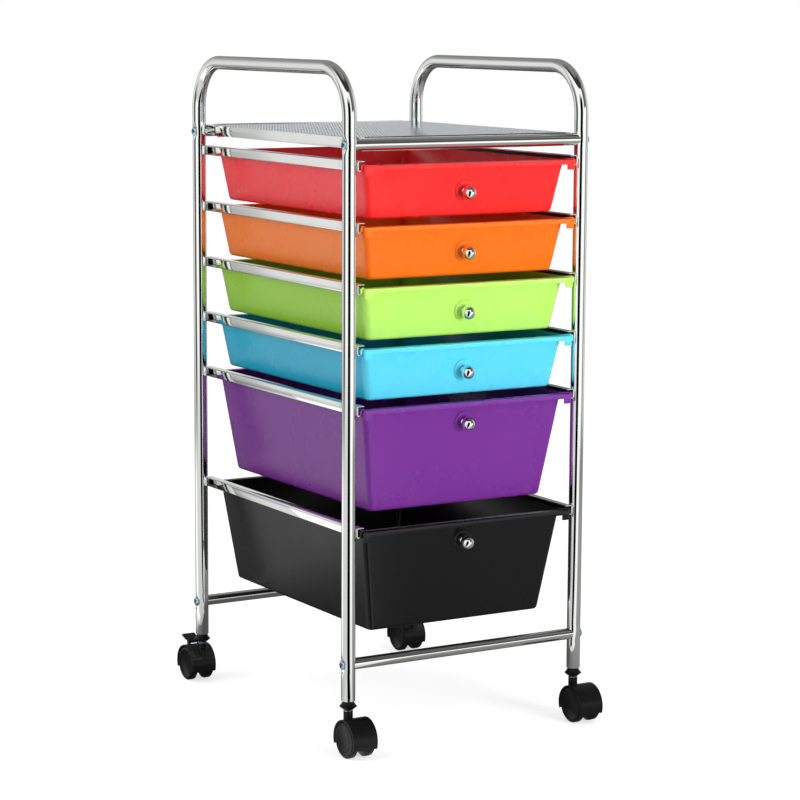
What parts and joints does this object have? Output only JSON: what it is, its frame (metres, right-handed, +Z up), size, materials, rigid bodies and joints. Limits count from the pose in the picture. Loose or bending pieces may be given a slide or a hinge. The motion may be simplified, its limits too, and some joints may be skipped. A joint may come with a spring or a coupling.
{
  "type": "rolling drawer tower",
  "caption": "Rolling tower of pull-out plastic drawers on channel rails in a bent chrome tube frame, with a mesh shelf, two side handles and swivelling casters.",
  "frame": {"origin": "on the floor, midway between the four posts", "axes": "+X to the right seen from the front, +Y to the back, +Z up"},
  "size_m": [0.359, 0.4783, 0.8254],
  "materials": {
    "chrome": "bright chrome plating",
    "zinc_steel": "bright zinc plating",
    "black_plastic": "satin moulded",
    "red_plastic": "translucent glossy moulded",
    "orange_plastic": "translucent glossy moulded",
    "green_plastic": "translucent glossy moulded",
    "cyan_plastic": "translucent glossy moulded",
    "purple_plastic": "translucent glossy moulded",
    "dark_plastic": "glossy moulded"
  },
  "bodies": {
    "frame": {"left_side_frame": "chrome", "right_side_frame": "chrome", "left_rail_1": "chrome", "left_rail_2": "chrome", "left_rail_3": "chrome", "left_rail_4": "chrome", "left_rail_5": "chrome", "left_rail_6": "chrome", "right_rail_1": "chrome", "right_rail_2": "chrome", "right_rail_3": "chrome", "right_rail_4": "chrome", "right_rail_5": "chrome", "right_rail_6": "chrome", "shelf_front_bar": "chrome", "shelf_rear_bar": "chrome", "shelf_left_strip": "chrome", "shelf_right_strip": "chrome", "shelf_mesh": "chrome", "bottom_front_bar": "chrome", "bottom_rear_bar": "chrome", "frame_screws": "zinc_steel", "leg_inserts": "black_plastic", "front_left_stem": "zinc_steel", "front_right_stem": "zinc_steel", "rear_left_stem": "zinc_steel", "rear_right_stem": "zinc_steel"},
    "drawer_1": {"drawer_1_bin": "red_plastic", "drawer_1_knob": "chrome", "drawer_1_knob_screw": "zinc_steel"},
    "drawer_2": {"drawer_2_bin": "orange_plastic", "drawer_2_knob": "chrome", "drawer_2_knob_screw": "zinc_steel"},
    "drawer_3": {"drawer_3_bin": "green_plastic", "drawer_3_knob": "chrome", "drawer_3_knob_screw": "zinc_steel"},
    "drawer_4": {"drawer_4_bin": "cyan_plastic", "drawer_4_knob": "chrome", "drawer_4_knob_screw": "zinc_steel"},
    "drawer_5": {"drawer_5_bin": "purple_plastic", "drawer_5_knob": "chrome", "drawer_5_knob_screw": "zinc_steel"},
    "drawer_6": {"drawer_6_bin": "dark_plastic", "drawer_6_knob": "chrome", "drawer_6_knob_screw": "zinc_steel"},
    "front_left_caster": {"front_left_hood": "black_plastic", "front_left_axle": "zinc_steel"},
    "front_left_wheel_pair": {"front_left_wheels": "black_plastic"},
    "front_right_caster": {"front_right_hood": "black_plastic", "front_right_axle": "zinc_steel"},
    "front_right_wheel_pair": {"front_right_wheels": "black_plastic"},
    "rear_left_caster": {"rear_left_hood": "black_plastic", "rear_left_axle": "zinc_steel"},
    "rear_left_wheel_pair": {"rear_left_wheels": "black_plastic"},
    "rear_left_brake": {"rear_left_brake_pedal": "black_plastic"},
    "rear_right_caster": {"rear_right_hood": "black_plastic", "rear_right_axle": "zinc_steel"},
    "rear_right_wheel_pair": {"rear_right_wheels": "black_plastic"},
    "rear_right_brake": {"rear_right_brake_pedal": "black_plastic"}
  },
  "joints": [
    {"name": "drawer_1_slide", "type": "slide", "parent": "frame", "child": "drawer_1", "axis": [0, -1, 0], "range_m": [0, 0.3]},
    {"name": "drawer_2_slide", "type": "slide", "parent": "frame", "child": "drawer_2", "axis": [0, -1, 0], "range_m": [0, 0.3]},
    {"name": "drawer_3_slide", "type": "slide", "parent": "frame", "child": "drawer_3", "axis": [0, -1, 0], "range_m": [0, 0.3]},
    {"name": "drawer_4_slide", "type": "slide", "parent": "frame", "child": "drawer_4", "axis": [0, -1, 0], "range_m": [0, 0.3]},
    {"name": "drawer_5_slide", "type": "slide", "parent": "frame", "child": "drawer_5", "axis": [0, -1, 0], "range_m": [0, 0.3]},
    {"name": "drawer_6_slide", "type": "slide", "parent": "frame", "child": "drawer_6", "axis": [0, -1, 0], "range_m": [0, 0.3]},
    {"name": "front_left_swivel", "type": "hinge", "parent": "frame", "child": "front_left_caster", "pos_m": [-0.163, -0.196, 0.05], "axis": [0, 0, 1], "continuous": true},
    {"name": "front_left_roll", "type": "hinge", "parent": "front_left_caster", "child": "front_left_wheel_pair", "pos_m": [-0.163, -0.214, 0.022], "axis": [1, 0, 0], "continuous": true},
    {"name": "front_right_swivel", "type": "hinge", "parent": "frame", "child": "front_right_caster", "pos_m": [0.163, -0.196, 0.05], "axis": [0, 0, 1], "continuous": true},
    {"name": "front_right_roll", "type": "hinge", "parent": "front_right_caster", "child": "front_right_wheel_pair", "pos_m": [0.163, -0.214, 0.022], "axis": [1, 0, 0], "continuous": true},
    {"name": "rear_left_swivel", "type": "hinge", "parent": "frame", "child": "rear_left_caster", "pos_m": [-0.163, 0.196, 0.05], "axis": [0, 0, 1], "continuous": true},
    {"name": "rear_left_roll", "type": "hinge", "parent": "rear_left_caster", "child": "rear_left_wheel_pair", "pos_m": [-0.163, 0.214, 0.022], "axis": [1, 0, 0], "continuous": true},
    {"name": "rear_left_brake_press", "type": "hinge", "parent": "rear_left_caster", "child": "rear_left_brake", "pos_m": [-0.163, 0.222, 0.04967], "axis": [-1, 0, 0], "range_deg": [0, 16]},
    {"name": "rear_right_swivel", "type": "hinge", "parent": "frame", "child": "rear_right_caster", "pos_m": [0.163, 0.196, 0.05], "axis": [0, 0, 1], "continuous": true},
    {"name": "rear_right_roll", "type": "hinge", "parent": "rear_right_caster", "child": "rear_right_wheel_pair", "pos_m": [0.163, 0.214, 0.022], "axis": [1, 0, 0], "continuous": true},
    {"name": "rear_right_brake_press", "type": "hinge", "parent": "rear_right_caster", "child": "rear_right_brake", "pos_m": [0.163, 0.222, 0.04967], "axis": [-1, 0, 0], "range_deg": [0, 16]}
  ]
}
